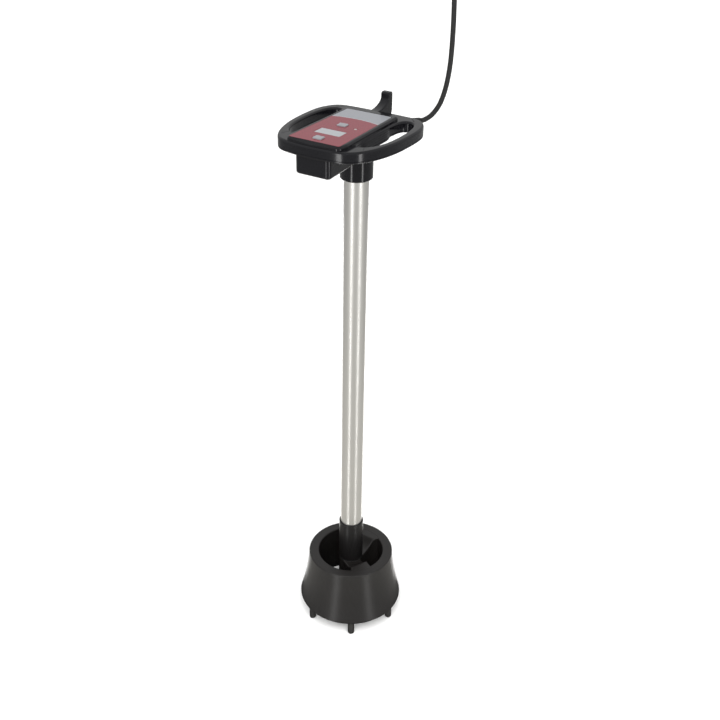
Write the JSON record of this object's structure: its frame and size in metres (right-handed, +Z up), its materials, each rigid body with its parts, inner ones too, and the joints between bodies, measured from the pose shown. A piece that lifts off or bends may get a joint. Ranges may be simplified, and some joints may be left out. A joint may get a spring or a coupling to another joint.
{
  "type": "immersion liquid heater",
  "caption": "Hand-held immersion heater: cast heating bell on short feet, long aluminium tube, and a ring-handled control head with push keys, display, hanging hook and mains lead",
  "frame": {"origin": "centre of the bounding box in plan without the free mains lead, at the plane of the feet's tips", "axes": "+Z up along the tube, the head's control panel reaches forward along -Y, the hanging hook is at +Y, +X to the right of a user who reads the panel"},
  "size_m": [0.171, 0.2675, 1.0793],
  "materials": {
    "coated_casting": "satin",
    "foot_plastic": "satin",
    "rubber": "matte",
    "satin_plastic": "satin",
    "tube_aluminium": "satin",
    "lead_sleeving": "matte",
    "steel": "satin",
    "shell_plastic": "gloss",
    "label_film": "satin",
    "window_plastic": "gloss",
    "display_plastic": "satin",
    "key_plastic": "satin",
    "lamp_plastic": "gloss",
    "board": "satin",
    "relay_plastic": "satin",
    "ceramic_white": "satin",
    "cord_rubber": "matte",
    "plug_rubber": "matte",
    "pin_brass": "satin"
  },
  "bodies": {
    "heater": {"heater_body": "coated_casting", "bottom_ring": "coated_casting", "hub_cap": "coated_casting", "heating_element": "steel", "temperature_probe": "steel", "thermal_cutout": "steel", "foot_1": "foot_plastic", "foot_2": "foot_plastic", "foot_3": "foot_plastic", "foot_4": "foot_plastic", "foot_5": "foot_plastic", "foot_6": "foot_plastic", "hub_cap_seal": "rubber", "sleeve_seal": "rubber", "collar_seal": "rubber", "shell_gasket": "rubber", "lower_sleeve": "satin_plastic", "collar": "satin_plastic", "tube": "tube_aluminium", "lead_bundle": "lead_sleeving", "collar_screw": "steel", "lower_shell": "shell_plastic", "upper_shell": "shell_plastic", "hanging_hook": "shell_plastic", "label": "label_film", "display_window": "window_plastic", "display_module": "display_plastic", "front_switch": "display_plastic", "rear_switch": "display_plastic", "indicator_lamp": "lamp_plastic", "control_board": "board", "board_screw_1": "steel", "board_screw_2": "steel", "board_screw_3": "steel", "board_screw_4": "steel", "power_module": "display_plastic", "relay": "relay_plastic", "fuse": "ceramic_white", "terminal_block": "ceramic_white", "shell_screw_1": "steel", "shell_screw_2": "steel", "shell_screw_3": "steel", "shell_screw_4": "steel", "shell_screw_5": "steel", "shell_screw_6": "steel", "cord_gland": "rubber", "mains_cord": "cord_rubber", "mains_plug": "plug_rubber", "plug_pin_1": "pin_brass", "plug_pin_2": "pin_brass"},
    "front_key": {"front_key": "key_plastic"},
    "rear_key": {"rear_key": "key_plastic"}
  },
  "joints": [
    {"name": "front_key_press", "type": "slide", "parent": "heater", "child": "front_key", "axis": [0, 0, -1], "range_m": [0, 0.0008], "stiffness_N_per_m": 1500, "springref_m": -0.0005},
    {"name": "rear_key_press", "type": "slide", "parent": "heater", "child": "rear_key", "axis": [0, 0, -1], "range_m": [0, 0.0008], "stiffness_N_per_m": 1500, "springref_m": -0.0005}
  ]
}
